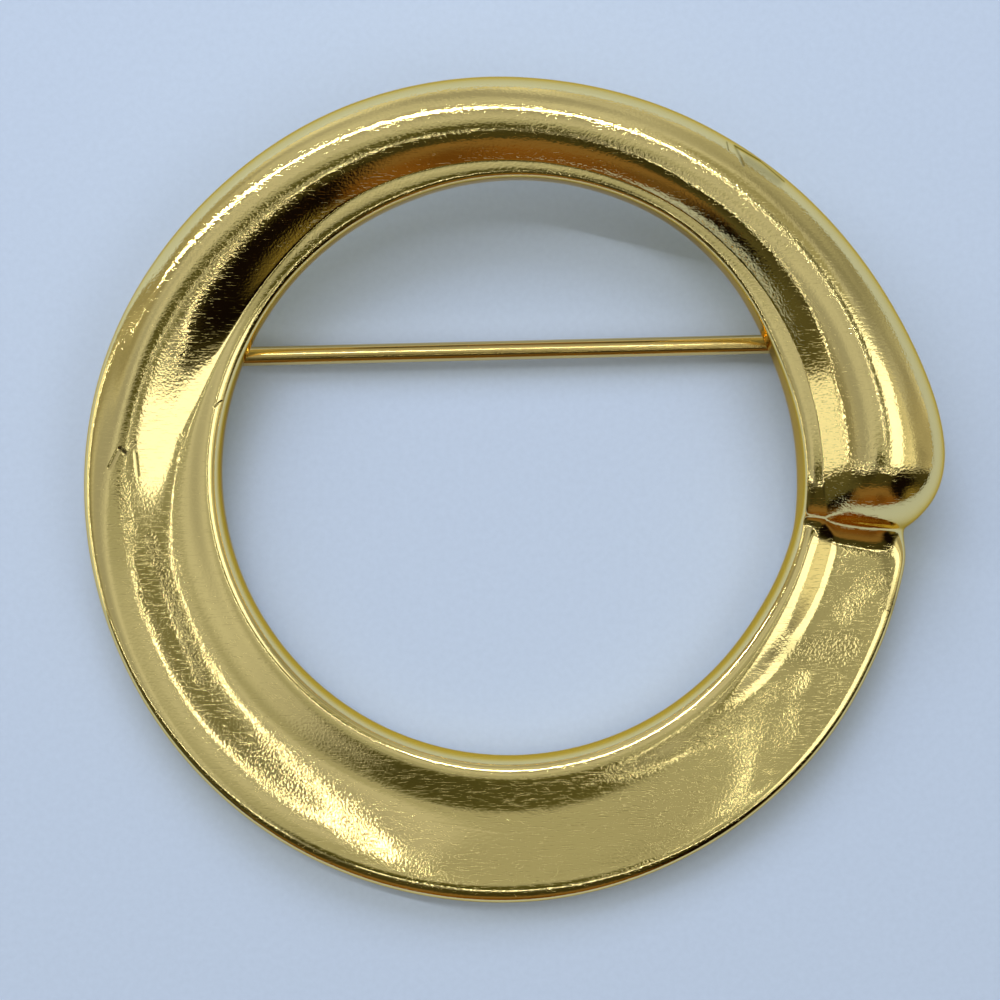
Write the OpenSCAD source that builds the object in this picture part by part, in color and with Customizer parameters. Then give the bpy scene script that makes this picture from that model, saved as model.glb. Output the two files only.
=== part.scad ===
// Circle brooch: a cast open circle that starts as a round tube with a domed end, turns over on the left
// and comes back as a dished ribbon that ends under the dome. A pin stem on a rivet crosses its back.
// The ring is described about the middle of its hole, with its flat back at z = 0 and its front up,
// and is then laid down as it rests: on its hinge block, its catch and the lower edge of its back.

/* [Ring] */
// Lean of the ring where it rests on its findings, in degrees
rest_tilt = 5; // [4.5:0.25:5.5]
// Scale of every height on the front of the ring
relief = 1; // [0.9:0.05:1.1]
// Radius of the rounded corners of the back
back_corner = 0.15; // [0.1:0.05:0.25]

/* [Pin stem] */
// Diameter of the stem wire
stem_d = 1.1; // [0.9:0.05:1.15]
// Distance from the rivet to the tip
stem_length = 40.6; // [38:0.2:41]
// Length of the tapered point
point_length = 3.6; // [2:0.2:4]
// Depth of the stem's middle below the back
stem_drop = 1.45; // [1.4:0.05:1.5]
// Height of the stem above the middle of the hole, at the rivet
stem_y = 6.4; // [6:0.05:7.5]
// Slope of the stem across the hole, in degrees
stem_slope = 1.35; // [0:0.05:2]
// Outer diameter of the stem's eye
eye_d = 1.9; // [1.7:0.05:1.95]

/* [Hinge block and catch] */
// Distance from the middle of the hole to the rivet
hinge_x = 19.0; // [18.5:0.1:19.5]
// Diameter of the rivet
rivet_d = 1.0; // [0.8:0.05:1.1]
// Gap between the two ears
ear_gap = 1.2; // [1.2:0.05:1.4]
// Thickness of each ear
ear_t = 0.8; // [0.7:0.05:1]
// Length of the hinge block along the stem
hinge_length = 2.9; // [2.6:0.1:3.2]
// Distance from the middle of the hole to the catch
catch_x = 18.0; // [17.6:0.1:18.4]
// Length of the catch along the stem
catch_length = 1.6; // [1.2:0.1:2]
// Width of the catch across the stem
catch_width = 2.7; // [2.4:0.1:3]

/* [Hidden] */
$fn = 48;

// Radius of the hole's edge at the back: angle, radius
hole = [
    [-12, 16.4], [0, 16.2], [12, 16.1], [26, 16], [36, 16.3], [56, 16.55], [84, 16.4],
    [112, 16.15], [132, 16.15], [150, 16.15], [185, 16.25], [330, 16.15], [340, 16.3], [349, 16.4]];

// Tube: angle, radius and height of the crease on its inner side, radius and height of the crown,
// outer radius, and how fast the flank from the crown down to the crease steepens
tube = [
    [-8.2, 17.7, 2.75, 20, 2.75, 22.3, 2],
    [-7.6, 17.7, 2.95, 19.9, 3.2, 22.45, 1.8],
    [-6.6, 17.65, 3.2, 19.8, 3.85, 22.8, 1.5],
    [-4.6, 17.5, 3.45, 19.7, 4.65, 23.35, 1.3],
    [-2, 17.35, 3.7, 19.6, 5.4, 23.87, 1.2],
    [2, 17.25, 3.9, 19.5, 5.9, 24.2, 1.15],
    [8, 17.2, 3.95, 19.55, 6, 24.08, 1.15],
    [20, 17.2, 3.8, 19.6, 5.8, 23.3, 1.2],
    [35, 17.3, 3.65, 19.5, 5.4, 22.65, 1.5],
    [55, 17.35, 3.7, 19.4, 5.05, 22.15, 2],
    [80, 17.3, 3.6, 19.5, 4.8, 21.85, 2],
    [100, 17.4, 3.4, 19.75, 4.6, 22.05, 2],
    [120, 17.6, 3.1, 20.1, 4.5, 22.37, 2],
    [134, 17.3, 2.7, 20.3, 4.4, 22.58, 2],
    [150, 17.1, 2.3, 20.8, 4.2, 23.05, 2],
    [170, 17.1, 2.2, 21.3, 4.1, 23.68, 2],
    [200, 17.1, 2.2, 21.5, 4, 24, 2]];

// Ribbon: angle, radius and height of the inner lip, radius and height of the dish,
// radius and height of the rim, outer radius, and how far up the flank has come at 2/5 and 3/4 of its width
ribbon = [
    [120, 17.3, 2.3, 18.2, 2.3, 20.6, 4.4, 22.3, 0.5, 0.85],
    [145, 17.1, 2.2, 18, 2.15, 21.3, 3.9, 22.92, 0.45, 0.85],
    [160, 17, 2.25, 18.1, 2.15, 21.6, 3.4, 23.4, 0.42, 0.85],
    [174, 17, 2.3, 18.3, 2.17, 22, 3.05, 23.68, 0.42, 0.88],
    [188, 17, 2.3, 18.6, 2.2, 22.75, 2.78, 23.93, 0.4, 0.9],
    [205, 17, 2.3, 18.9, 2.22, 23.3, 2.84, 24.18, 0.38, 0.9],
    [225, 17, 2.3, 19.1, 2.2, 23.58, 2.95, 24.4, 0.38, 0.9],
    [240, 17, 2.26, 19.1, 2.18, 23.62, 2.97, 24.48, 0.38, 0.9],
    [250, 17, 2.26, 19.1, 2.18, 23.53, 2.82, 24.48, 0.38, 0.85],
    [260, 17, 2.26, 19.2, 2.16, 23.45, 2.44, 24.5, 0.4, 0.75],
    [275, 17, 2.26, 19.1, 2.16, 23.35, 2.28, 24.45, 0.4, 0.75],
    [295, 17, 2.24, 19, 2.16, 23.25, 2.22, 24.06, 0.4, 0.75],
    [310, 17, 2.23, 18.9, 2.16, 23.08, 2.18, 23.7, 0.4, 0.75],
    [320, 17, 2.35, 18.8, 2.14, 22.85, 2.06, 23.52, 0.42, 0.82],
    [330, 17, 2.52, 18.8, 2.12, 22.62, 1.88, 23.28, 0.45, 0.88],
    [338, 17.1, 2.56, 18.8, 2.08, 22.35, 2, 23.05, 0.45, 0.88],
    [349, 17.2, 2.5, 18.8, 2.08, 22.2, 2.08, 22.8, 0.4, 0.75]];

// How far the tube has opened into the ribbon: angle, share
opening = [
    [-12, 0], [126, 0], [145, 0.2], [159, 0.55], [173, 0.88], [186, 1], [360, 1]];

// Angles of the sections: close together round the dome, then nine degrees apart
sections = concat(
    [-8.2, -7.6, -6.6, -4.6, -2, 2, 7, 13],
    [for (a = [21 : 9 : 336]) a],
    [341, 345.5, 348.8]);
// Points worked out between two sections, and between two points of a section
steps_along = 3;
steps_round = 2;

function mix(a, b, t) = a + (b - a) * t;
function column(table, c, a) = lookup(a, [for (row = table) [row[0], row[c]]]);

// Corners of a section, as radius and height: the inner wall first, over the front to the outer wall
function foot_in(ri) = [[ri + 3 * back_corner, 0], [ri + back_corner * 0.4, 0], [ri, back_corner]];
function foot_out(rf) = [[rf, back_corner], [rf - back_corner * 0.4, 0], [rf - 3 * back_corner, 0]];

// A tube over a narrow shelf: a flank falls from the crown to the crease, and five corners stand
// 25 to 30 degrees apart round its outer side, pushed out a little because the skin runs inside them
function tube_section(a) =
    let (ri = lookup(a, hole), rc = column(tube, 1, a), zc = column(tube, 2, a) * relief,
        rt = column(tube, 3, a), zt = column(tube, 4, a) * relief, ro = column(tube, 5, a),
        steep = column(tube, 6, a), reach = (ro - rt) * 1.03, rise = zt / 2 * 1.03)
    concat(
        [[ri + 0.08, zc - 0.6 * relief], [ri + 0.12, zc - 0.06], [rc - 0.1, zc], [rc, zc]],
        [for (t = [0.92, 0.6, 0.25]) [mix(rt, rc, t), mix(zt, zc, pow(t, steep))]],
        [for (t = [75, 50, 25, 0, -30]) [rt + reach * cos(t), zt / 2 + rise * sin(t)]]);

// An open dish between an inner lip and an outer rim
function ribbon_section(a) =
    let (ri = lookup(a, hole), rl = column(ribbon, 1, a), zl = column(ribbon, 2, a) * relief,
        rv = column(ribbon, 3, a), zv = column(ribbon, 4, a) * relief,
        rt = column(ribbon, 5, a), zt = column(ribbon, 6, a) * relief, ro = column(ribbon, 7, a),
        near = column(ribbon, 8, a), far = column(ribbon, 9, a))
    [[ri, zl * 0.5], [ri + 0.1, zl - 0.15], [rl - 0.1, zl + 0.1],
     [mix(rl, rv, 0.5), mix(zl, zv, 0.45)], [rv - 0.25, zv], [rv + 0.35, zv],
     [mix(rv, rt, 0.4), mix(zv, zt, near)], [mix(rv, rt, 0.75), mix(zv, zt, far)],
     [rt - 0.25, zt - 0.02], [rt + 0.1, zt], [ro - 0.05, zt - 0.16], [ro, zt - 1.2]];

function foot_radius(a) = mix(column(tube, 5, a) - 1.1, column(ribbon, 7, a) - 0.35, lookup(a, opening));
function section(a) =
    let (t = tube_section(a), r = ribbon_section(a), w = lookup(a, opening))
    concat(foot_in(lookup(a, hole)),
        [for (i = [0 : len(t) - 1]) mix(t[i], r[i], w)],
        foot_out(foot_radius(a)));

// The cage of corners, spread a little outwards, because a smooth curve runs inside its corners
n_rows = len(sections);
function turn_to(i) = sections[i % n_rows] + 360 * floor(i / n_rows);
function half_step(i) = (turn_to(i + 1 + n_rows) - turn_to(i - 1 + n_rows)) / 2;
cage = [for (i = [0 : n_rows - 1])
    let (a = sections[i], spread = 3 / (2 + cos(half_step(i))))
    [for (p = section(a)) [p[0] * spread * cos(a), p[0] * spread * sin(a), p[1]]]];
n_round = len(cage[0]);

// Smooth surface through the cage: a cubic B-spline both ways
function weights(t) = [pow(1 - t, 3) / 6, (3 * pow(t, 3) - 6 * pow(t, 2) + 4) / 6,
    (-3 * pow(t, 3) + 3 * pow(t, 2) + 3 * t + 1) / 6, pow(t, 3) / 6];
function between(list, i, w) = let (n = len(list))
    w[0] * list[(i + n - 1) % n] + w[1] * list[i % n] + w[2] * list[(i + 1) % n] + w[3] * list[(i + 2) % n];
loops = [for (i = [0 : n_rows - 1], s = [0 : steps_along - 1])
    let (row = between(cage, i, weights(s / steps_along)))
    [for (j = [0 : n_round - 1], q = [0 : steps_round - 1]) between(row, j, weights(q / steps_round))]];
n_loops = len(loops);
n_points = len(loops[0]);
skin_points = [for (l = loops) for (p = l) p];
function corner(i, j) = (i % n_loops) * n_points + j % n_points;
skin_faces = [for (i = [0 : n_loops - 1], j = [0 : n_points - 1]) each
    [[corner(i, j), corner(i + 1, j + 1), corner(i, j + 1)],
     [corner(i, j), corner(i + 1, j), corner(i + 1, j + 1)]]];

// The rest pose: the lean, the height of the leaned ring's lowest point, and the middle of its outline
leaned = [for (p = skin_points)
    [p[0], p[1] * cos(rest_tilt) - p[2] * sin(rest_tilt), p[1] * sin(rest_tilt) + p[2] * cos(rest_tilt)]];
lift = -min([for (p = leaned) p[2]]);
middle_x = (min([for (p = leaned) p[0]]) + max([for (p = leaned) p[0]])) / 2;
middle_y = (min([for (p = leaned) p[1]]) + max([for (p = leaned) p[1]])) / 2;
module at_rest() translate([-middle_x, -middle_y, lift]) rotate([rest_tilt, 0, 0]) children();
// Depth below the back at which a foot whose lower edge is at height y meets the table
function depth_at(y) = (lift + y * sin(rest_tilt)) / cos(rest_tilt);

// Findings: the frame of the stem has its origin at the rivet and X along the stem
module on_stem() translate([-hinge_x, stem_y, 0]) rotate([0, 0, stem_slope]) children();
block_w = ear_gap + 2 * ear_t;
hinge_depth = depth_at(stem_y - block_w / 2);
catch_from_rivet = hinge_x + catch_x;
catch_depth = depth_at(stem_y + catch_from_rivet * sin(stem_slope) - catch_width / 2);
sunk = 0.4;
rivet_play = 0.03;
slot_w = stem_d + 0.2;

module hinge_block() {
    ear_r = hinge_depth - stem_drop;
    difference() {
        union() {
            translate([-hinge_length / 2, -block_w / 2, -0.35])
                cube([hinge_length, block_w, sunk + 0.35]);
            for (side = [-1, 1]) {
                translate([-ear_r, side * (ear_gap + ear_t) / 2 - ear_t / 2, -stem_drop])
                    cube([2 * ear_r, ear_t, stem_drop]);
                translate([0, side * (ear_gap + ear_t) / 2, -stem_drop])
                    rotate([90, 0, 0]) cylinder(r = ear_r, h = ear_t, center = true);
            }
        }
        translate([0, 0, -stem_drop]) rotate([90, 0, 0])
            cylinder(d = rivet_d + 2 * rivet_play, h = 2 * block_w, center = true);
    }
}

module catch_fork() {
    translate([catch_from_rivet, 0, 0]) difference() {
        translate([-catch_length / 2, -catch_width / 2, -catch_depth])
            cube([catch_length, catch_width, catch_depth + sunk]);
        translate([0, 0, -stem_drop]) rotate([0, 90, 0])
            cylinder(d = slot_w, h = 2 * catch_length, center = true);
        translate([-catch_length, -slot_w / 2, -2 * catch_depth - stem_drop])
            cube([2 * catch_length, slot_w, 2 * catch_depth]);
    }
}

module ring_body() {
    color("gold") at_rest() {
        union() {
            polyhedron(points = skin_points, faces = skin_faces, convexity = 6);
            on_stem() hinge_block();
            on_stem() catch_fork();
        }
    }
}

module hinge_rivet() {
    color("goldenrod") at_rest() on_stem() translate([0, 0, -stem_drop])
        rotate([90, 0, 0]) cylinder(d = rivet_d, h = block_w, center = true);
}

module pin_stem() {
    eye_w = ear_gap - 0.1;
    color("darkgoldenrod") at_rest() on_stem() translate([0, 0, -stem_drop]) difference() {
        union() {
            rotate([90, 0, 0]) cylinder(d = eye_d, h = eye_w, center = true);
            rotate([0, 90, 0]) cylinder(d = stem_d, h = stem_length - point_length);
            translate([stem_length - point_length, 0, 0]) rotate([0, 90, 0])
                cylinder(d1 = stem_d, d2 = 0.2, h = point_length);
        }
        rotate([90, 0, 0]) cylinder(d = rivet_d + 2 * rivet_play, h = 2 * eye_w, center = true);
    }
}

ring_body();
hinge_rivet();
pin_stem();
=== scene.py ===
import math
import bpy
from mathutils import Matrix, Vector


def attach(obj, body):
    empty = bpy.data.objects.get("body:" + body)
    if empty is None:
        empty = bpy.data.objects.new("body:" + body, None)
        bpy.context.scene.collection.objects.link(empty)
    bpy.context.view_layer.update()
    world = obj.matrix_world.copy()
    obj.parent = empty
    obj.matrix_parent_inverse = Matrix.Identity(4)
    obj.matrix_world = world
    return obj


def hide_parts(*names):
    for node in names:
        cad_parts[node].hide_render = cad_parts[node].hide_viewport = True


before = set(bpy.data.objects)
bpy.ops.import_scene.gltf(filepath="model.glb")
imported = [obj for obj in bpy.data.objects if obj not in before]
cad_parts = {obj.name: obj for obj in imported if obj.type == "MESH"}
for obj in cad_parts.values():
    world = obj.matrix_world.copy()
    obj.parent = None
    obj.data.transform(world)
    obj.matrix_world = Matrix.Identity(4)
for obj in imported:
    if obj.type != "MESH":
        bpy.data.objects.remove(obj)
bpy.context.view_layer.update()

mm = 0.001
weldGap = 0.002 * mm  # corners that lie closer than this are one


# sRGB hex colour to the linear colour that shader sockets hold
def hexColour(text):
    parts = [int(text[start:start + 2], 16) / 255 for start in (1, 3, 5)]
    return [part / 12.92 if part <= 0.04045 else ((part + 0.055) / 1.055) ** 2.4 for part in parts] + [1.0]


# Adds one node, sets its settings and socket values, and links the outputs that feed it
def addNode(tree, kind, settings=None, values=None, links=None):
    node = tree.nodes.new(kind)
    for name, value in (settings or {}).items():
        setattr(node, name, value)
    for socket, value in (values or {}).items():
        node.inputs[socket].default_value = value
    for socket, (source, output) in (links or {}).items():
        tree.links.new(source.outputs[output], node.inputs[socket])
    return node


def newMaterial(name):
    material = bpy.data.materials.new(name)
    material.use_nodes = True
    material.node_tree.nodes.clear()
    return material, material.node_tree


def startPiece():
    if bpy.context.object and bpy.context.object.mode == "EDIT":
        bpy.ops.object.mode_set(mode="OBJECT")
    bpy.ops.object.select_all(action="DESELECT")


def applyModifier(piece, name, kind, settings):
    startPiece()
    bpy.context.view_layer.objects.active = piece
    piece.select_set(True)
    modifier = piece.modifiers.new(name, kind)
    for setting, value in settings.items():
        setattr(modifier, setting, value)
    bpy.ops.object.modifier_apply(modifier=name)


# Camera straight above, as the photo was taken. Places and sizes in mm.
photoCamera = {"x": -0.70, "y": -0.18, "height": 140.0, "widthOnFloor": 57.5, "sensor": 36.0,
               "nearest": 10.0, "farthest": 10000.0}
cameraData = bpy.data.cameras.new("photoCamera")
camera = bpy.data.objects.new("photoCamera", cameraData)
bpy.context.scene.collection.objects.link(camera)
camera.location = (photoCamera["x"] * mm, photoCamera["y"] * mm, photoCamera["height"] * mm)
cameraData.sensor_width = photoCamera["sensor"]
cameraData.lens = photoCamera["sensor"] * photoCamera["height"] / photoCamera["widthOnFloor"]
cameraData.clip_start = photoCamera["nearest"] * mm
cameraData.clip_end = photoCamera["farthest"] * mm
bpy.context.scene.camera = camera
bpy.context.scene.view_settings.view_transform = "Standard"
print("camera ready")

# Pale floor of uncoated paper: matt, with a faint mottle of its fibres. Sizes in mm.
floorLook = {"size": 3000.0, "colour": "#c4d1ea", "lighter": "#cedbf4", "grain": 0.35, "roughness": 0.7,
             "bumpStrength": 0.25, "bumpHeight": 0.02}
startPiece()
bpy.ops.mesh.primitive_plane_add(size=floorLook["size"] * mm, location=(0, 0, 0))
floor = bpy.context.object
floor.name = "paperFloor"
paper, tree = newMaterial("smoothPaper")
place = addNode(tree, "ShaderNodeTexCoord")
inMm = addNode(tree, "ShaderNodeMapping", values={"Scale": (1000, 1000, 1000)},
               links={"Vector": (place, "Object")})
grain = addNode(tree, "ShaderNodeTexNoise", values={"Scale": 1 / floorLook["grain"], "Detail": 4.0},
                links={"Vector": (inMm, "Vector")})
tint = addNode(tree, "ShaderNodeMix", {"data_type": "RGBA"},
               {6: hexColour(floorLook["colour"]), 7: hexColour(floorLook["lighter"])},
               {"Factor": (grain, "Fac")})
bump = addNode(tree, "ShaderNodeBump",
               values={"Strength": floorLook["bumpStrength"], "Distance": floorLook["bumpHeight"] * mm},
               links={"Height": (grain, "Fac")})
shader = addNode(tree, "ShaderNodeBsdfPrincipled", values={"Roughness": floorLook["roughness"]},
                 links={"Base Color": (tint, 2), "Normal": (bump, "Normal")})
addNode(tree, "ShaderNodeOutputMaterial", links={"Surface": (shader, "BSDF")})
floor.data.materials.append(paper)
print("floor ready")

# Soft room light: a grey ceiling over a darker room front, which is brown towards the middle of the table.
# A place in it is written as x and y of the lean with which a mirror on the table shows it to the camera.
roomLight = {
    "strength": 1.0, "clouds": 5.0, "cloudShare": 0.25, "cloudFrom": 0.35, "cloudTo": 0.65,
    "ceiling": "#b2b5b1", "horizon": "#cfd0c6", "horizonFrom": 0.80, "horizonTo": 0.72,
    "front": "#3a3720", "frontFrom": -0.25, "frontTo": -0.33, "skew": -0.1,
    "frontLeft": "#4c4a32", "leftFrom": -0.2, "leftTo": -0.4,
    "brown": "#6e5633", "brownMiddle": -0.06, "brownHalf": 0.22, "corner": "#0c0705", "cornerHalf": 0.36,
    "lowFrom": -0.44, "lowTo": -0.50,
    "bar": "#74765f", "barX": 0.120, "barInside": 0.012, "barOutside": 0.036, "barTop": 0.12,
    "barTopSoft": 0.03,
    "ovalInside": 0.6, "ovalOutside": 1.2,
    # things that hang and stand about: middle, half width and half depth, colour
    "high": [{"x": -0.75, "y": 0.1, "wide": 0.45, "deep": 0.6, "colour": "#96947f"},
             {"x": 0.5, "y": 0.42, "wide": 0.32, "deep": 0.28, "colour": "#999b8f"},
             {"x": 0.185, "y": 0.19, "wide": 0.08, "deep": 0.11, "colour": "#8e8f7b"},
             {"x": 0.6, "y": -0.05, "wide": 0.18, "deep": 0.25, "colour": "#9c9a88"},
             {"x": 0.38, "y": -0.09, "wide": 0.1, "deep": 0.2, "colour": "#d4d3bf"},
             {"x": 0.03, "y": -0.145, "wide": 0.13, "deep": 0.075, "colour": "#92958a"},
             {"x": 0.0, "y": -0.225, "wide": 0.085, "deep": 0.07, "colour": "#4a4a2f"}],
    "low": [{"x": 0.32, "y": -0.45, "wide": 0.2, "deep": 0.16, "colour": "#0d0806"},
            {"x": 0.05, "y": -0.7, "wide": 0.5, "deep": 0.12, "colour": "#6e4a20"},
            {"x": 0.36, "y": -0.68, "wide": 0.1, "deep": 0.08, "colour": "#928967"},
            {"x": 0.52, "y": -0.6, "wide": 0.2, "deep": 0.2, "colour": "#6e6236"}]}
world = bpy.data.worlds.new("softRoom")
bpy.context.scene.world = world
world.use_nodes = True
tree = world.node_tree
tree.nodes.clear()
direction = addNode(tree, "ShaderNodeTexCoord")
halfWay = addNode(tree, "ShaderNodeVectorMath", {"operation": "ADD"}, {1: (0, 0, 1)},
                  {0: (direction, "Generated")})
mirror = addNode(tree, "ShaderNodeVectorMath", {"operation": "NORMALIZE"}, links={0: (halfWay, 0)})
lean = addNode(tree, "ShaderNodeSeparateXYZ", links={"Vector": (mirror, 0)})


# Goes from the first colour to the second, smooth between a low and a high value
def blend(tree, value, low, high, first, second):
    share = addNode(tree, "ShaderNodeMapRange", {"interpolation_type": "SMOOTHSTEP"},
                    {"From Min": low, "From Max": high}, {"Value": value})
    links, values = {"Factor": (share, "Result")}, {}
    for socket, colour in ((6, first), (7, second)):
        if isinstance(colour, str):
            values[socket] = hexColour(colour)
        else:
            links[socket] = colour
    return (addNode(tree, "ShaderNodeMix", {"data_type": "RGBA"}, values, links), 2)


# Lays a soft-edged oval of a colour over what is there
def oval(tree, spot, under):
    acrossX = addNode(tree, "ShaderNodeMath", {"operation": "MULTIPLY_ADD"},
                      {1: 1 / spot["wide"], 2: -spot["x"] / spot["wide"]}, {0: (lean, "X")})
    acrossY = addNode(tree, "ShaderNodeMath", {"operation": "MULTIPLY_ADD"},
                      {1: 1 / spot["deep"], 2: -spot["y"] / spot["deep"]}, {0: (lean, "Y")})
    both = addNode(tree, "ShaderNodeCombineXYZ", links={"X": (acrossX, 0), "Y": (acrossY, 0)})
    away = addNode(tree, "ShaderNodeVectorMath", {"operation": "LENGTH"}, links={0: (both, 0)})
    return blend(tree, (away, "Value"), roomLight["ovalInside"], roomLight["ovalOutside"],
                 spot["colour"], under)


# along the front: brown in the middle and dark at both corners, lighter above them
beside = addNode(tree, "ShaderNodeMath", {"operation": "SUBTRACT"}, {1: roomLight["brownMiddle"]},
                 {0: (lean, "X")})
sideways = addNode(tree, "ShaderNodeMath", {"operation": "ABSOLUTE"}, links={0: (beside, 0)})
low = blend(tree, (sideways, 0), roomLight["brownHalf"], roomLight["cornerHalf"], roomLight["brown"],
            roomLight["corner"])
level = blend(tree, (lean, "X"), roomLight["leftTo"], roomLight["leftFrom"], roomLight["frontLeft"],
              roomLight["front"])
front = blend(tree, (lean, "Y"), roomLight["lowTo"], roomLight["lowFrom"], low, level)
# a darker upright between the bright strip and the panel
besideBar = addNode(tree, "ShaderNodeMath", {"operation": "SUBTRACT"}, {1: roomLight["barX"]},
                    {0: (lean, "X")})
fromBar = addNode(tree, "ShaderNodeMath", {"operation": "ABSOLUTE"}, links={0: (besideBar, 0)})
barred = blend(tree, (fromBar, 0), roomLight["barInside"], roomLight["barOutside"], roomLight["bar"],
               roomLight["ceiling"])
above = blend(tree, (lean, "Y"), roomLight["barTop"] - roomLight["barTopSoft"],
              roomLight["barTop"] + roomLight["barTopSoft"], barred, roomLight["ceiling"])
above = blend(tree, (lean, "Z"), roomLight["horizonTo"], roomLight["horizonFrom"],
              roomLight["horizon"], above)
for spot in roomLight["high"]:
    above = oval(tree, spot, above)
# the dark front reaches higher at both sides
toSide = addNode(tree, "ShaderNodeMath", {"operation": "ABSOLUTE"}, links={0: (lean, "X")})
skewed = addNode(tree, "ShaderNodeMath", {"operation": "MULTIPLY_ADD"}, {1: roomLight["skew"]},
                 {0: (toSide, 0), 2: (lean, "Y")})
room = blend(tree, (skewed, 0), roomLight["frontTo"], roomLight["frontFrom"], front, above)
for spot in roomLight["low"]:
    room = oval(tree, spot, room)
# what stands and hangs in a room makes every part of it a little lighter or darker
clouds = addNode(tree, "ShaderNodeTexNoise", values={"Scale": roomLight["clouds"], "Detail": 1.5},
                 links={"Vector": (mirror, 0)})
strength = addNode(tree, "ShaderNodeMapRange",
                   values={"From Min": roomLight["cloudFrom"], "From Max": roomLight["cloudTo"],
                           "To Min": roomLight["strength"] * (1 - roomLight["cloudShare"]),
                           "To Max": roomLight["strength"] * (1 + roomLight["cloudShare"])},
                   links={"Value": (clouds, "Fac")})
background = addNode(tree, "ShaderNodeBackground", links={"Color": room, "Strength": (strength, "Result")})
addNode(tree, "ShaderNodeOutputWorld", links={"Surface": (background, "Background")})


# The way to a light whose reflection shows in a mirror that leans by x, y
def wayTo(x, y):
    z = math.sqrt(1 - x * x - y * y)
    return Vector((2 * z * x, 2 * z * y, 2 * z * z - 1))


# Softboxes and strip lights: both ends, as leans of the mirror, then width in mm and brightness
softboxes = [
    {"name": "rightPanel", "start": (0.155, -0.072), "end": (0.335, -0.085), "width": 620,
     "brightness": 1.15},
    {"name": "leftPanel", "start": (-0.585, -0.05), "end": (-0.69, -0.05), "width": 520, "brightness": 0.7},
    {"name": "backStrip", "start": (0.08, 0.12), "end": (-0.5, 0.2), "width": 10, "brightness": 55},
    {"name": "frontStripLeft", "start": (-0.10, -0.27), "end": (-0.5, -0.22), "width": 8, "brightness": 6},
    {"name": "frontStripRight", "start": (0.25, -0.29), "end": (-0.02, -0.28), "width": 8, "brightness": 6},
    {"name": "overheadStrip", "start": (0.074, 0.1), "end": (0.066, -0.125), "width": 5, "brightness": 8},
    {"name": "overheadTail", "start": (0.066, -0.125), "end": (0.06, -0.24), "width": 4, "brightness": 3.4},
    {"name": "leftStrip", "start": (-0.55, 0.12), "end": (-0.53, -0.2), "width": 8, "brightness": 12},
]
boxStands = {"distance": 900.0, "colour": (0.96, 1.0, 0.97)}  # mm from the brooch, colour of every box
for box in softboxes:
    start = wayTo(*box["start"]) * boxStands["distance"] * mm
    end = wayTo(*box["end"]) * boxStands["distance"] * mm
    middle = (start + end) / 2
    light = bpy.data.lights.new(box["name"], "AREA")
    light.shape = "RECTANGLE"
    light.size, light.size_y = (end - start).length, box["width"] * mm
    # the power that makes a box of this size so bright
    light.energy = box["brightness"] * math.pi * light.size * light.size_y
    light.color = boxStands["colour"]
    lamp = bpy.data.objects.new(box["name"], light)
    bpy.context.scene.collection.objects.link(lamp)
    lamp.location = middle
    # its long side runs from end to end and its face looks down at the brooch
    along = (end - start).normalized()
    facing = (middle - along * middle.dot(along)).normalized()
    lamp.rotation_mode = "QUATERNION"
    lamp.rotation_quaternion = Matrix((along, facing.cross(along), facing)).transposed().to_quaternion()
    lamp.visible_camera = False
# Cool soft window light beyond the top of the brooch, for the paper and the shadows on it: place, size in mm.
# The polished metal doesn't show it.
windowLight = {"place": (-40.0, 260.0, 260.0), "size": 190.0, "power": 0.55, "colour": "#dfeaff"}
window = bpy.data.lights.new("windowLight", "AREA")
window.size = windowLight["size"] * mm
window.energy = windowLight["power"]
window.color = hexColour(windowLight["colour"])[:3]
windowLamp = bpy.data.objects.new("windowLight", window)
bpy.context.scene.collection.objects.link(windowLamp)
windowLamp.location = Vector(windowLight["place"]) * mm
windowLamp.rotation_euler = windowLamp.location.to_track_quat("Z", "Y").to_euler()
windowLamp.visible_glossy = False
print("lights ready")

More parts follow.
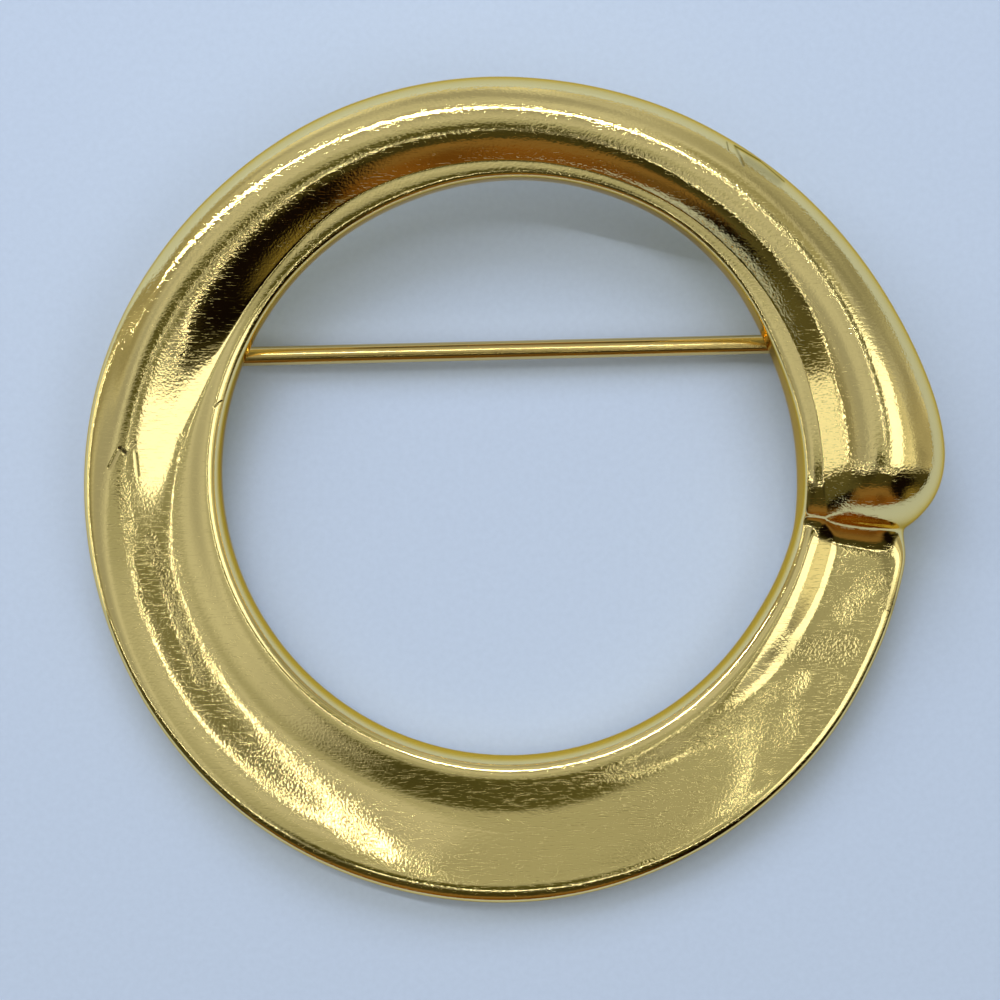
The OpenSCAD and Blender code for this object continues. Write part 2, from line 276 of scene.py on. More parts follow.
# Cast ring: a domed tube that turns over into a dish. Sizes in mm about the middle of the hole.
ringShape = {
    # how far it leans on the hinge block and the catch, in degrees, and where its hole's middle then lies
    "restTilt": 5.0, "restMove": (-0.161528, 1.40658, 2.06648),
    # how far the flat back's edge stands in from the outside, at the tube and at the ribbon
    "tubeFoot": 1.1, "ribbonFoot": 0.35, "backCorner": 0.15,
    "smoothLevels": 3, "cageGrowth": 1.03,
    # angle, radius of the hole's edge
    "hole": [[-12, 16.4], [0, 16.2], [12, 16.1], [26, 16.0], [36, 16.3], [56, 16.55], [84, 16.4],
             [112, 16.15], [132, 16.15], [150, 16.15], [185, 16.25], [330, 16.15], [340, 16.3], [349, 16.4]],
    # angle, crease radius and height, crown radius and height, outer radius, steepening of the inner flank
    "tube": [[-8.2, 17.7, 2.75, 20.0, 2.75, 22.3, 2.0], [-7.6, 17.7, 2.95, 19.9, 3.2, 22.45, 1.8],
             [-6.6, 17.65, 3.2, 19.8, 3.85, 22.8, 1.5], [-4.6, 17.5, 3.45, 19.7, 4.65, 23.35, 1.3],
             [-2, 17.35, 3.7, 19.6, 5.4, 23.87, 1.2], [2, 17.25, 3.9, 19.5, 5.9, 24.2, 1.15],
             [8, 17.2, 3.95, 19.55, 6.0, 24.08, 1.15], [20, 17.2, 3.8, 19.6, 5.8, 23.3, 1.2],
             [35, 17.3, 3.65, 19.5, 5.4, 22.65, 1.5], [55, 17.35, 3.7, 19.4, 5.05, 22.15, 2.0],
             [80, 17.3, 3.6, 19.5, 4.8, 21.85, 2.0], [100, 17.4, 3.4, 19.75, 4.6, 22.05, 2.0],
             [120, 17.6, 3.1, 20.1, 4.5, 22.37, 2.0], [134, 17.3, 2.7, 20.3, 4.4, 22.58, 2.0],
             [150, 17.1, 2.3, 20.8, 4.2, 23.05, 2.0], [170, 17.1, 2.2, 21.3, 4.1, 23.68, 2.0],
             [200, 17.1, 2.2, 21.5, 4.0, 24.0, 2.0]],
    # angle, lip radius and height, dish radius and height, rim radius and height, outer radius, flank shares
    "ribbon": [[120, 17.3, 2.3, 18.2, 2.3, 20.6, 4.4, 22.3, 0.50, 0.85],
               [145, 17.1, 2.2, 18.0, 2.15, 21.3, 3.9, 22.92, 0.45, 0.85],
               [160, 17.0, 2.25, 18.1, 2.15, 21.6, 3.4, 23.4, 0.42, 0.85],
               [174, 17.0, 2.3, 18.3, 2.17, 22.0, 3.05, 23.68, 0.42, 0.88],
               [188, 17.0, 2.3, 18.6, 2.2, 22.75, 2.78, 23.93, 0.40, 0.9],
               [205, 17.0, 2.3, 18.9, 2.22, 23.3, 2.84, 24.18, 0.38, 0.9],
               [225, 17.0, 2.3, 19.1, 2.2, 23.58, 2.95, 24.4, 0.38, 0.9],
               [240, 17.0, 2.26, 19.1, 2.18, 23.62, 2.97, 24.48, 0.38, 0.9],
               [250, 17.0, 2.26, 19.1, 2.18, 23.53, 2.82, 24.48, 0.38, 0.85],
               [260, 17.0, 2.26, 19.2, 2.16, 23.45, 2.44, 24.5, 0.40, 0.75],
               [275, 17.0, 2.26, 19.1, 2.16, 23.35, 2.28, 24.45, 0.40, 0.75],
               [295, 17.0, 2.24, 19.0, 2.16, 23.25, 2.22, 24.06, 0.40, 0.75],
               [310, 17.0, 2.23, 18.9, 2.16, 23.08, 2.18, 23.7, 0.40, 0.75],
               [320, 17.0, 2.35, 18.8, 2.14, 22.85, 2.06, 23.52, 0.42, 0.82],
               [330, 17.0, 2.52, 18.8, 2.12, 22.62, 1.88, 23.28, 0.45, 0.88],
               [338, 17.1, 2.56, 18.8, 2.08, 22.35, 2.0, 23.05, 0.45, 0.88],
               [349, 17.2, 2.5, 18.8, 2.08, 22.2, 2.08, 22.8, 0.40, 0.75]],
    # angle, share of the ribbon in the section
    "opening": [[-12, 0], [126, 0], [145, 0.2], [159, 0.55], [173, 0.88], [186, 1], [360, 1]],
    "sections": [-8.2, -7.6, -6.6, -4.6, -2, 2, 7, 13] + list(range(21, 337, 9)) + [341, 345.5, 348.8],
}


def mix(start, end, share):
    return start + (end - start) * share


# One column of a table at an angle, straight between its rows
def column(table, index, angle):
    if angle <= table[0][0]:
        return table[0][index]
    for low, high in zip(table, table[1:]):
        if angle <= high[0]:
            return mix(low[index], high[index], (angle - low[0]) / (high[0] - low[0]))
    return table[-1][index]


# Radius and height of the corners of the tube, from the hole's edge over its crown to the outside.
# The corners stand a little outside the round, because smoothing draws the surface inwards.
def tubeSection(angle):
    inner = column(ringShape["hole"], 1, angle)
    creaseR, creaseZ, crownR, crownZ, outerR, power = [
        column(ringShape["tube"], index, angle) for index in range(1, 7)]
    corners = [(inner + 0.08, creaseZ - 0.6), (inner + 0.12, creaseZ - 0.06),
               (creaseR - 0.1, creaseZ), (creaseR, creaseZ)]
    for share in (0.92, 0.6, 0.25):
        corners.append((mix(crownR, creaseR, share), mix(crownZ, creaseZ, share ** power)))
    grown = ringShape["cageGrowth"]
    middleZ, reach, rise = crownZ / 2, (outerR - crownR) * grown, crownZ / 2 * grown
    for turn in (75, 50, 25, 0, -30):
        side, up = math.cos(math.radians(turn)), math.sin(math.radians(turn))
        corners.append((crownR + reach * side, middleZ + rise * up))
    return corners


# The same for the open dish: its corners stand a few tenths of a millimetre beside its lip, floor and rim
def ribbonSection(angle):
    inner = column(ringShape["hole"], 1, angle)
    lipR, lipZ, dishR, dishZ, rimR, rimZ, outerR, near, far = [
        column(ringShape["ribbon"], index, angle) for index in range(1, 10)]
    return [(inner, lipZ * 0.5), (inner + 0.1, lipZ - 0.15), (lipR - 0.1, lipZ + 0.1),
            (mix(lipR, dishR, 0.5), mix(lipZ, dishZ, 0.45)), (dishR - 0.25, dishZ), (dishR + 0.35, dishZ),
            (mix(dishR, rimR, 0.4), mix(dishZ, rimZ, near)), (mix(dishR, rimR, 0.75), mix(dishZ, rimZ, far)),
            (rimR - 0.25, rimZ - 0.02), (rimR + 0.1, rimZ),
            (outerR - 0.05, rimZ - 0.16), (outerR, rimZ - 1.2)]


def ringSection(angle):
    corner = ringShape["backCorner"]
    inner = column(ringShape["hole"], 1, angle)
    share = column(ringShape["opening"], 1, angle)
    foot = mix(column(ringShape["tube"], 5, angle) - ringShape["tubeFoot"],
               column(ringShape["ribbon"], 7, angle) - ringShape["ribbonFoot"], share)
    front = [(mix(tubeR, ribbonR, share), mix(tubeZ, ribbonZ, share))
             for (tubeR, tubeZ), (ribbonR, ribbonZ) in zip(tubeSection(angle), ribbonSection(angle))]
    return ([(inner + 3 * corner, 0), (inner + 0.4 * corner, 0), (inner, corner)] + front
            + [(foot, corner), (foot - 0.4 * corner, 0), (foot - 3 * corner, 0)])


# A point of the ring, in mm about its hole, where it lies when the brooch rests on its back
def atRest(x, y, z):
    tilt = math.radians(ringShape["restTilt"])
    move = ringShape["restMove"]
    return Vector((x + move[0], y * math.cos(tilt) - z * math.sin(tilt) + move[1],
                   y * math.sin(tilt) + z * math.cos(tilt) + move[2])) * mm


# A plain hoop, whose corners only have to be told apart before they move
hoop = {"radius": 2.0, "middleR": 20.0, "middleZ": 2.0}
sections = ringShape["sections"]
rowCount = len(sections)
roundCount = len(ringSection(0))
startPiece()
bpy.ops.mesh.primitive_circle_add(vertices=roundCount, radius=hoop["radius"] * mm,
                                  location=(hoop["middleR"] * mm, 0, hoop["middleZ"] * mm),
                                  rotation=(math.pi / 2, 0, 0))
ring = bpy.context.object
ring.name = "castRing"
bpy.ops.object.transform_apply(location=True, rotation=True, scale=True)
bpy.ops.object.mode_set(mode="EDIT")
bpy.ops.mesh.select_all(action="SELECT")
stepAngle = 2 * math.pi * (rowCount - 1) / rowCount
bpy.ops.mesh.spin(steps=rowCount - 1, angle=stepAngle, center=(0, 0, 0), axis=(0, 0, 1))
bpy.ops.mesh.select_all(action="DESELECT")
bpy.ops.object.mode_set(mode="OBJECT")
# each corner of the plain spun hoop goes to its place in the tables
for vertex in ring.data.vertices:
    row = round(math.degrees(math.atan2(vertex.co.y, vertex.co.x)) % 360 / 360 * rowCount) % rowCount
    offR = math.hypot(vertex.co.x, vertex.co.y) - hoop["middleR"] * mm
    offZ = vertex.co.z - hoop["middleZ"] * mm
    corner = int((math.degrees(math.atan2(offZ, offR)) % 360) / 360 * roundCount) % roundCount
    angle = sections[row]
    before = sections[row - 1] - (360 if row == 0 else 0)
    after = sections[(row + 1) % rowCount] + (360 if row == rowCount - 1 else 0)
    # a smoothed cage shrinks inwards, the more the wider its sections stand apart
    spread = 3 / (2 + math.cos(math.radians((after - before) / 2)))
    # the corners are numbered from the hole over the front, so they run against the circle's own turn
    radius, height = ringSection(angle)[-corner % roundCount]
    radius *= spread
    vertex.co = atRest(radius * math.cos(math.radians(angle)), radius * math.sin(math.radians(angle)), height)
# the last section is joined to the first
bpy.ops.object.mode_set(mode="EDIT")
bpy.context.tool_settings.mesh_select_mode = (False, True, False)
bpy.ops.mesh.select_all(action="DESELECT")
bpy.ops.mesh.select_non_manifold(extend=False, use_wire=True, use_boundary=True, use_multi_face=False,
                                 use_non_contiguous=False, use_verts=False)
bpy.ops.mesh.bridge_edge_loops()
bpy.ops.mesh.select_all(action="SELECT")
bpy.ops.mesh.normals_make_consistent(inside=False)
bpy.ops.object.mode_set(mode="OBJECT")
levels = ringShape["smoothLevels"]
applyModifier(ring, "roundedCast", "SUBSURF", {"levels": levels, "render_levels": levels})
bpy.ops.object.shade_smooth()
print("ring ready", len(ring.data.polygons))

# Gold plate over a polished casting: a deep yellow mirror. The edges of its reflections sparkle, because the
# polish left fine grain and wear left short scratches each way. Marks are placed in mm on the table.
goldLook = {
    # the dark colour that marks are darkened with is painted shade and painted dark reflection, partly dirt
    "colour": "#ffe8a0", "edge": "#e8c66a", "shadeAndDirtColour": "#4c4015", "roughness": 0.055,
    # lengths and heights of the casting's waves and of the grain, in mm
    "wave": 3.2, "waveHeight": 0.006, "grain": 0.15, "grainHeight": 0.0042,
    # size of the calmer patches and their share of the grain
    "calm": 4.0, "calmShare": 0.4, "calmFrom": 0.4, "calmTo": 0.6,
    # heights between which the grain grows, and how many times
    "highFrom": 4.6, "highTo": 6.6, "highShare": 2.8,
    "scratches": [{"turn": 20, "length": 0.8, "width": 0.06}, {"turn": 75, "length": 1.1, "width": 0.06},
                  {"turn": 140, "length": 0.6, "width": 0.06}],
    "scratchHeight": 0.0013, "scratchFrom": 0.66, "scratchTo": 0.74,
    # marks: x and y of both ends, width, depth, share of darkening (painted shade and dark reflection, partly
    # dirt), added grain
    "marks": [
        # scratched wedge at the upper right, darkened with painted shade and painted dark reflection
        [12.1, 19.13, 13.49, 18.35, 0.22, 0.02, 0.8, 0],
        [13.49, 18.35, 14.8, 17.2, 0.16, 0.015, 0.6, 0],
        [12.14, 19.0, 12.5, 17.95, 0.3, 0.015, 0.45, 0],
        [12.7, 18.3, 14.4, 17.2, 1.1, 0.02, 0.35, 0],
        [11.65, 19.3, 11.7, 18.8, 0.16, 0.01, 0.6, 0],
        # nick at the left, and a spot beside it at the hole, darkened with painted shade
        [-21.7, 2.65, -21.45, 2.4, 0.4, 0.03, 0.85, 0],
        [-21.2, 2.75, -20.95, 3.0, 0.3, 0.02, 0.4, 0],
        [-21.8, 2.6, -22.35, 1.6, 0.35, 0.03, 0.15, 0],
        [-20.9, 2.4, -20.8, 1.2, 0.3, 0.012, 0.4, 0],
        [-16.6, 5.0, -16.2, 5.3, 0.2, 0.02, 0.6, 0],
        # worn patches at the right end of the dish, two of them also darker
        [20.9, -3.2, 21.2, -6.2, 1.5, 0.0, 0.4, 3.5],
        [20.2, -4.8, 18.5, -6.6, 2.0, 0.0, 0.0, 4.0],
        [15.6, -8.6, 18.8, -8.4, 2.6, 0.0, 0.3, 3.0],
        [10.4, -13.9, 16.2, -10.2, 1.7, 0.0, 0.0, 3.0],
        [16.2, -10.2, 15.4, -14.0, 1.8, 0.0, 0.0, 3.0],
        # worn streaks beside the double line at the left, the first also darkened with painted dark
        # reflection
        [-20.2, -2.4, -17.4, -10.2, 1.2, 0.0, 0.35, 3.0],
        [-21.7, 0.7, -20.9, -6.4, 1.2, 0.0, 0.0, 3.5],
        [-18.3, 3.4, -18.6, -4.2, 1.0, 0.0, 0.0, 3.0],
        # fine lines along the bottom of the dish
        [-4.49, -18.39, -0.35, -18.99, 0.25, 0.0015, 0.0, 0],
        [-0.35, -18.99, 3.97, -18.58, 0.25, 0.0015, 0.0, 0],
        [3.97, -18.58, 10.23, -16.58, 0.3, 0.0015, 0.0, 0]
    ]}


# Height of one way of scratches, in mm: noise drawn out along them, of which only the tops are left
def scratchLayer(tree, inMm, look, layer):
    turned = addNode(tree, "ShaderNodeMapping",
                     values={"Rotation": (0, 0, math.radians(layer["turn"])),
                             "Scale": (1 / layer["length"], 1 / layer["width"], 1 / layer["length"])},
                     links={"Vector": (inMm, "Vector")})
    streaks = addNode(tree, "ShaderNodeTexNoise", values={"Scale": 1.0, "Detail": 1.0},
                      links={"Vector": (turned, "Vector")})
    return addNode(tree, "ShaderNodeMapRange",
                   values={"From Min": look["scratchFrom"], "From Max": look["scratchTo"],
                           "To Min": 0.0, "To Max": -look["scratchHeight"]},
                   links={"Value": (streaks, "Fac")})


# How deep in a groove a place lies, from 0 at its edge to 1 on the line between its ends, seen from above
def grooveShare(tree, inMm, start, end, width):
    start = Vector((*start, 0))
    run = Vector((*end, 0)) - start
    flat = addNode(tree, "ShaderNodeVectorMath", {"operation": "MULTIPLY"}, {1: (1, 1, 0)},
                   {0: (inMm, "Vector")})
    offset = addNode(tree, "ShaderNodeVectorMath", {"operation": "SUBTRACT"}, {1: start}, {0: (flat, 0)})
    along = addNode(tree, "ShaderNodeVectorMath", {"operation": "DOT_PRODUCT"}, {1: run / run.length_squared},
                    {0: (offset, 0)})
    share = addNode(tree, "ShaderNodeClamp", links={"Value": (along, "Value")})
    nearest = addNode(tree, "ShaderNodeVectorMath", {"operation": "SCALE"}, {0: run}, {"Scale": (share, 0)})
    gap = addNode(tree, "ShaderNodeVectorMath", {"operation": "DISTANCE"},
                  links={0: (offset, 0), 1: (nearest, 0)})
    return addNode(tree, "ShaderNodeMapRange", {"interpolation_type": "SMOOTHSTEP"},
                   {"From Min": 0.0, "From Max": width / 2, "To Min": 1.0, "To Max": 0.0},
                   {"Value": (gap, "Value")})


def goldPlate(name, look):
    material, tree = newMaterial(name)
    place = addNode(tree, "ShaderNodeTexCoord")
    inMm = addNode(tree, "ShaderNodeMapping", values={"Scale": (1000, 1000, 1000)},
                   links={"Vector": (place, "Object")})
    wave = addNode(tree, "ShaderNodeTexNoise", values={"Scale": 1 / look["wave"], "Detail": 1.0},
                   links={"Vector": (inMm, "Vector")})
    height = addNode(tree, "ShaderNodeMath", {"operation": "MULTIPLY"}, {1: look["waveHeight"]},
                     {0: (wave, "Fac")})
    # polish left some stretches calmer than others
    patches = addNode(tree, "ShaderNodeTexNoise", values={"Scale": 1 / look["calm"], "Detail": 1.0},
                      links={"Vector": (inMm, "Vector")})
    worn = addNode(tree, "ShaderNodeMapRange",
                   values={"From Min": look["calmFrom"], "From Max": look["calmTo"],
                           "To Min": look["grainHeight"] * look["calmShare"], "To Max": look["grainHeight"]},
                   links={"Value": (patches, "Fac")})
    # what stands highest rubs most against clothes and table
    apart = addNode(tree, "ShaderNodeSeparateXYZ", links={"Vector": (inMm, "Vector")})
    rubbed = addNode(tree, "ShaderNodeMapRange",
                     values={"From Min": look["highFrom"], "From Max": look["highTo"],
                             "To Min": 1.0, "To Max": look["highShare"]}, links={"Value": (apart, "Z")})
    worn = addNode(tree, "ShaderNodeMath", {"operation": "MULTIPLY"},
                   links={0: (worn, "Result"), 1: (rubbed, "Result")})
    grooves = [(depth, shadeAndDirtShare, rough, grooveShare(tree, inMm, (startX, startY), (endX, endY), width))
               for startX, startY, endX, endY, width, depth, shadeAndDirtShare, rough in look["marks"]]
    # knocks and wear have left rough patches
    for depth, shadeAndDirtShare, rough, groove in grooves:
        if rough:
            more = addNode(tree, "ShaderNodeMath", {"operation": "MULTIPLY_ADD"}, {1: rough, 2: 1.0},
                           {0: (groove, "Result")})
            worn = addNode(tree, "ShaderNodeMath", {"operation": "MULTIPLY"},
                           links={0: (worn, 0), 1: (more, 0)})
    grain = addNode(tree, "ShaderNodeTexNoise", values={"Scale": 1 / look["grain"], "Detail": 1.0},
                    links={"Vector": (inMm, "Vector")})
    height = addNode(tree, "ShaderNodeMath", {"operation": "MULTIPLY_ADD"},
                     links={0: (grain, "Fac"), 1: (worn, 0), 2: (height, 0)})
    for layer in look["scratches"]:
        scratch = scratchLayer(tree, inMm, look, layer)
        height = addNode(tree, "ShaderNodeMath", {"operation": "ADD"},
                         links={0: (scratch, "Result"), 1: (height, 0)})
    # most marks are darkened towards one dark colour: painted shade and painted dark reflection, partly also
    # dirt
    plain = addNode(tree, "ShaderNodeRGB")
    plain.outputs[0].default_value = hexColour(look["colour"])
    colour = (plain, 0)
    for depth, shadeAndDirtShare, rough, groove in grooves:
        if depth:
            height = addNode(tree, "ShaderNodeMath", {"operation": "MULTIPLY_ADD"}, {1: -depth},
                             {0: (groove, "Result"), 2: (height, 0)})
        if shadeAndDirtShare:
            share = addNode(tree, "ShaderNodeMath", {"operation": "MULTIPLY"}, {1: shadeAndDirtShare},
                            {0: (groove, "Result")})
            colour = (addNode(tree, "ShaderNodeMix", {"data_type": "RGBA"}, {7: hexColour(look["shadeAndDirtColour"])},
                              {"Factor": (share, 0), 6: colour}), 2)
    bump = addNode(tree, "ShaderNodeBump", values={"Strength": 1.0, "Distance": mm},
                   links={"Height": (height, 0)})
    shader = addNode(tree, "ShaderNodeBsdfPrincipled",
                     values={"Metallic": 1.0, "Roughness": look["roughness"],
                             "Specular Tint": hexColour(look["edge"])},
                     links={"Base Color": colour, "Normal": (bump, "Normal")})
    addNode(tree, "ShaderNodeOutputMaterial", links={"Surface": (shader, "BSDF")})
    return material


gold = goldPlate("polishedGoldPlate", goldLook)
ring.data.materials.append(gold)
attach(ring, "ring")
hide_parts("ring_body")


# Joins pieces, puts their origin at the world's and leaves them unrotated
def finishPiece(parts, name):
    startPiece()
    for part in parts:
        part.select_set(True)
    bpy.context.view_layer.objects.active = parts[0]
    bpy.ops.object.join()
    piece = bpy.context.object
    piece.name = name
    bpy.ops.object.transform_apply(location=True, rotation=True, scale=True)
    return piece


# A second one of a piece, with its own mesh, some mm further along Y
def copyAcross(piece, distance):
    startPiece()
    piece.select_set(True)
    bpy.context.view_layer.objects.active = piece
    bpy.ops.object.duplicate()
    twin = bpy.context.object
    twin.location.y += distance * mm
    return twin


# Turns a piece built at the back of a ring that lies flat to where the leaning ring holds it
def layOnBack(piece, x, y, turn):
    lean = Matrix.Rotation(math.radians(ringShape["restTilt"]), 4, "X")
    piece.matrix_world = (Matrix.Translation(atRest(x, y, 0)) @ lean
                          @ Matrix.Rotation(math.radians(turn), 4, "Z") @ piece.matrix_world)


# Puts a laid piece's place and turn into its mesh, and smooths it between its edges
def settle(piece, edgeAngle):
    startPiece()
    piece.select_set(True)
    bpy.context.view_layer.objects.active = piece
    bpy.ops.object.transform_apply(location=True, rotation=True, scale=True)
    bpy.ops.object.shade_smooth_by_angle(angle=math.radians(edgeAngle))


# Soldered hinge block and forked catch, as in the part. Sizes in mm, depths below the flat back.
findings = {"stemY": 6.4, "stemSlope": 1.35, "stemDrop": 1.45,
            "blockX": -19.0, "blockLength": 2.9, "blockWidth": 2.8, "blockDepth": 0.35, "depth": 2.512,
            "earGap": 1.2, "earThick": 0.8, "earTop": 0.1, "earRounding": 0.08, "earSides": 48,
            "catchX": 18.0, "catchLength": 1.6, "catchWidth": 2.7, "catchDepth": 2.592, "catchRounding": 0.1,
            "slot": 1.3, "slotTop": 0.8, "slotInset": 0.2, "edgeAngle": 40, "slack": 0.01,
            "rounding": 0.12, "sunk": 0.4, "solderWide": 0.3, "solderHigh": 0.16, "solderRounding": 0.152}


def addBox(size, middle, rounding, segments=3):
    startPiece()
    bpy.ops.mesh.primitive_cube_add(size=1, location=Vector(middle) * mm)
    box = bpy.context.object
    box.scale = Vector(size) * mm
    bpy.ops.object.transform_apply(location=False, rotation=False, scale=True)
    applyModifier(box, "softEdges", "BEVEL", {"width": rounding * mm, "segments": segments})
    return box


earRadius = findings["depth"] - findings["stemDrop"]
earStep = findings["earGap"] + findings["earThick"]
base = addBox((findings["blockLength"], findings["blockWidth"], findings["blockDepth"] + findings["sunk"]),
              (0, 0, (findings["sunk"] - findings["blockDepth"]) / 2), findings["rounding"])
startPiece()
bpy.ops.mesh.primitive_cylinder_add(vertices=findings["earSides"], radius=earRadius * mm,
                                    depth=findings["earThick"] * mm,
                                    location=(0, -earStep / 2 * mm, -findings["stemDrop"] * mm),
                                    rotation=(math.pi / 2, 0, 0))
ear = bpy.context.object
bpy.ops.object.transform_apply(location=True, rotation=True, scale=True)
# the upper half is drawn out square into the base; corners within the slack of the middle stay there
for vertex in ear.data.vertices:
    if vertex.co.z > (findings["slack"] - findings["stemDrop"]) * mm:
        vertex.co.z = -findings["earTop"] * mm
        beside = abs(vertex.co.x) > findings["slack"] * mm
        vertex.co.x = math.copysign(earRadius * mm, vertex.co.x) if beside else 0
applyModifier(ear, "softEdges", "BEVEL",
              {"width": findings["earRounding"] * mm, "segments": 2, "limit_method": "ANGLE"})
ears = [ear, copyAcross(ear, earStep)]


# Solder that ran out round a foot: a low soft pad
def solderPad(length, width):
    grown = 2 * findings["solderWide"]
    return addBox((length + grown, width + grown, findings["solderHigh"] + findings["sunk"]),
                  (0, 0, (findings["sunk"] - findings["solderHigh"]) / 2), findings["solderRounding"],
                  segments=4)


block = finishPiece([base, solderPad(findings["blockLength"], findings["blockWidth"])] + ears, "hingeBlock")
layOnBack(block, findings["blockX"], findings["stemY"], findings["stemSlope"])
prongWidth = (findings["catchWidth"] - findings["slot"]) / 2
prongY = (findings["catchWidth"] + findings["slot"]) / 4
prongZ = (findings["sunk"] - findings["catchDepth"]) / 2
prong = addBox((findings["catchLength"], prongWidth, findings["catchDepth"] + findings["sunk"]),
               (0, -prongY, prongZ), findings["catchRounding"])
prongs = [prong, copyAcross(prong, 2 * prongY)]
bridge = addBox((findings["catchLength"], findings["catchWidth"] - findings["slotInset"],
                 findings["slotTop"] + findings["sunk"]),
                (0, 0, (findings["sunk"] - findings["slotTop"]) / 2), findings["catchRounding"])
fork = finishPiece(prongs + [bridge, solderPad(findings["catchLength"], findings["catchWidth"])], "pinCatch")
catchRise = (findings["catchX"] - findings["blockX"]) * math.tan(math.radians(findings["stemSlope"]))
layOnBack(fork, findings["catchX"], findings["stemY"] + catchRise, findings["stemSlope"])
for piece in (block, fork):
    settle(piece, findings["edgeAngle"])
    piece.data.materials.append(gold)
    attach(piece, "ring")
print("hinge block and catch ready")

# Pin stem: a wire with a flattened eye at the rivet and a long tapered point. Sizes in mm along the stem.
stem = {"wire": 1.1, "start": 0.855, "length": 40.6, "point": 3.6, "tip": 0.1,
        "pointShares": [0.2, 0.4, 0.6, 0.8, 0.95], "pointCurve": 1.2,
        "eyeOuter": 1.9, "eyeInner": 1.06, "eyeWide": 1.1, "eyeRounding": 0.12, "sides": 32, "edgeAngle": 50}
# Drawn wire: a duller plate than the ring's, with the fine lines of drawing running along it.
# The lines are drawn wider than the few hundredths of a millimetre that they have, or they wouldn't show.
wireLook = {"colour": "#dcc07a", "roughness": 0.17,
            "lineWidth": 0.07, "lineLength": 6.0, "lineHeight": 0.002}


def drawnWire(name, look, turn):
    material, tree = newMaterial(name)
    place = addNode(tree, "ShaderNodeTexCoord")
    inMm = addNode(tree, "ShaderNodeMapping",
                   values={"Rotation": (0, 0, math.radians(-turn)), "Scale": (1000, 1000, 1000)},
                   links={"Vector": (place, "Object")})
    drawn = addNode(tree, "ShaderNodeMapping",
                    values={"Scale": (1 / look["lineLength"], 1 / look["lineWidth"], 1 / look["lineWidth"])},
                    links={"Vector": (inMm, "Vector")})
    lines = addNode(tree, "ShaderNodeTexNoise", values={"Scale": 1.0, "Detail": 2.0},
                    links={"Vector": (drawn, "Vector")})
    bump = addNode(tree, "ShaderNodeBump", values={"Strength": 1.0, "Distance": look["lineHeight"] * mm},
                   links={"Height": (lines, "Fac")})
    shader = addNode(tree, "ShaderNodeBsdfPrincipled",
                     values={"Base Color": hexColour(look["colour"]), "Metallic": 1.0,
                             "Roughness": look["roughness"]},
                     links={"Normal": (bump, "Normal")})
    addNode(tree, "ShaderNodeOutputMaterial", links={"Surface": (shader, "BSDF")})
    return material


# Spins an outline round the X axis into a solid. Its points are places along X and distances from it, in mm.
def spinAlongX(name, outline, sides):
    startPiece()
    first = outline[0]
    bpy.ops.mesh.primitive_plane_add(size=mm, location=(first[0] * mm, 0, first[1] * mm))
    piece = bpy.context.object
    piece.name = name
    bpy.ops.object.mode_set(mode="EDIT")
    bpy.context.tool_settings.mesh_select_mode = (True, False, False)
    bpy.ops.mesh.select_all(action="SELECT")
    bpy.ops.mesh.merge(type="CENTER")
    for near, far in zip(outline, outline[1:]):
        bpy.ops.mesh.extrude_region_move(TRANSFORM_OT_translate={
            "value": ((far[0] - near[0]) * mm, 0, (far[1] - near[1]) * mm)})
    bpy.ops.mesh.select_all(action="SELECT")
    bpy.ops.mesh.spin(steps=sides, angle=2 * math.pi, center=(0, 0, 0), axis=(1, 0, 0))
    bpy.ops.mesh.select_all(action="SELECT")
    bpy.ops.mesh.remove_doubles(threshold=weldGap)
    bpy.ops.mesh.normals_make_consistent(inside=False)
    bpy.ops.object.mode_set(mode="OBJECT")
    bpy.ops.object.transform_apply(location=True, rotation=True, scale=True)
    return piece


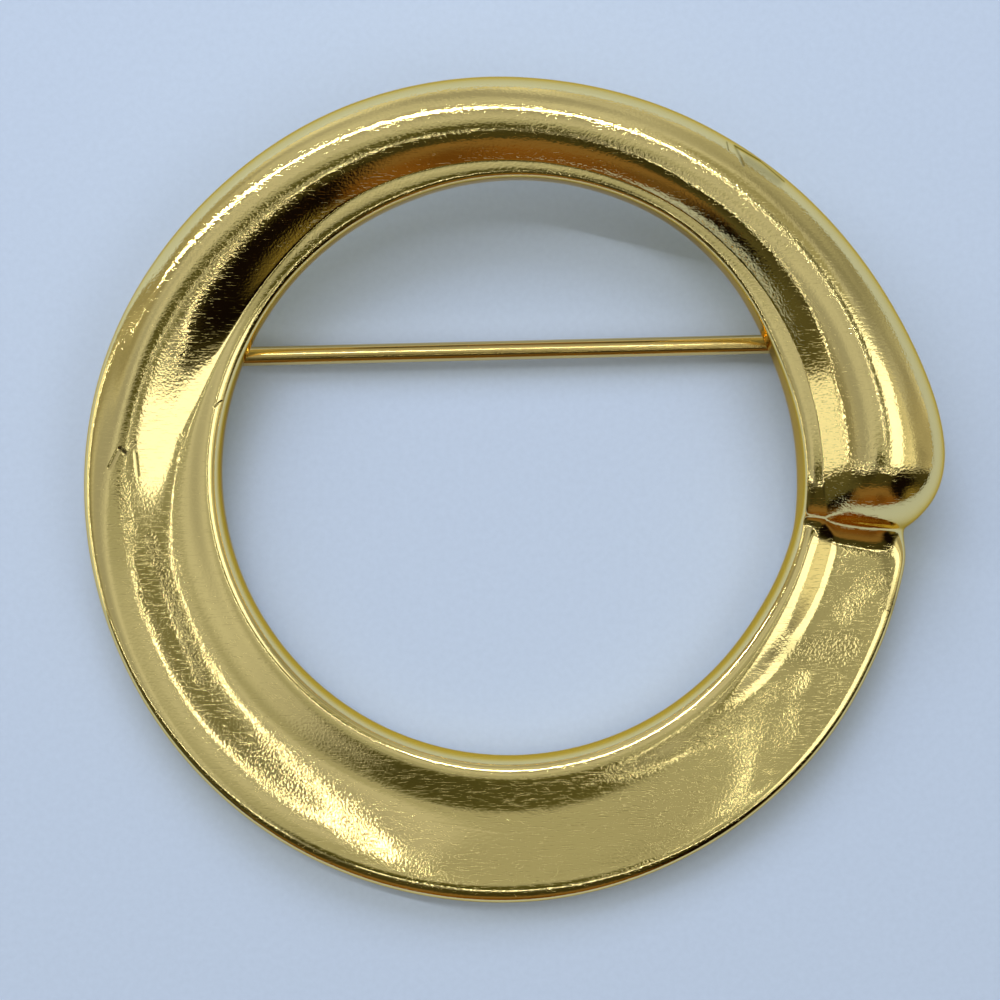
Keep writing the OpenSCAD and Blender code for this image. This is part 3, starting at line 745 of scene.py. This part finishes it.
# Lays a piece built along X at the rivet, with its own turn about Z first
def layOnStem(piece, turn):
    piece.matrix_world = (Matrix.Translation((0, 0, -findings["stemDrop"] * mm))
                          @ Matrix.Rotation(math.radians(turn), 4, "Z"))
    layOnBack(piece, findings["blockX"], findings["stemY"], findings["stemSlope"])
    settle(piece, stem["edgeAngle"])


# the wire starts within the wall of its eye
half = stem["wire"] / 2
outline = [(stem["start"], 0), (stem["start"], half), (stem["length"] - stem["point"], half)]
for share in stem["pointShares"]:
    outline.append((stem["length"] - stem["point"] * (1 - share),
                    mix(half, stem["tip"], share ** stem["pointCurve"])))
outline.append((stem["length"], 0))
wire = spinAlongX("stemWire", outline, stem["sides"])
layOnStem(wire, 0)
wide, inner, outer = stem["eyeWide"] / 2, stem["eyeInner"] / 2, stem["eyeOuter"] / 2
soft = stem["eyeRounding"]
outline = [(-wide + soft / 2, inner), (-wide, inner + soft), (-wide, outer - soft),
           (-wide + soft * 0.3, outer - soft * 0.3), (-wide + soft, outer), (wide - soft, outer),
           (wide - soft * 0.3, outer - soft * 0.3), (wide, outer - soft), (wide, inner + soft),
           (wide - soft / 2, inner), (-wide + soft / 2, inner)]
eye = spinAlongX("stemEye", outline, stem["sides"])
layOnStem(eye, 90)
stemPiece = finishPiece([wire, eye], "pinStem")
stemPiece.data.materials.append(drawnWire("drawnGoldWire", wireLook, findings["stemSlope"]))
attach(stemPiece, "stem")
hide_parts("pin_stem")

# Rivet: a short wire whose ends are hammered to low domes. Sizes in mm, places along the rivet.
rivet = {"wire": 1.0, "length": 2.8, "dome": 0.16, "sides": 32}
# Hammered wire: its short broad dimples blur what it mirrors
rivetLook = {"colour": "#e9c878", "roughness": 0.22,
             "lineWidth": 0.12, "lineLength": 0.3, "lineHeight": 0.006}
reach, half, dome = rivet["length"] / 2, rivet["wire"] / 2, rivet["dome"]
domed = [(reach - dome * (1 - math.cos(math.radians(turn))), half * math.sin(math.radians(turn)))
         for turn in range(0, 91, 15)]
rivetPiece = spinAlongX("rivetPin", [(-x, away) for x, away in domed] + domed[::-1], rivet["sides"])
layOnStem(rivetPiece, 90)
rivetPiece.data.materials.append(drawnWire("hammeredRivetWire", rivetLook, findings["stemSlope"] + 90))
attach(rivetPiece, "ring")
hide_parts("hinge_rivet")
print("stem and rivet ready")
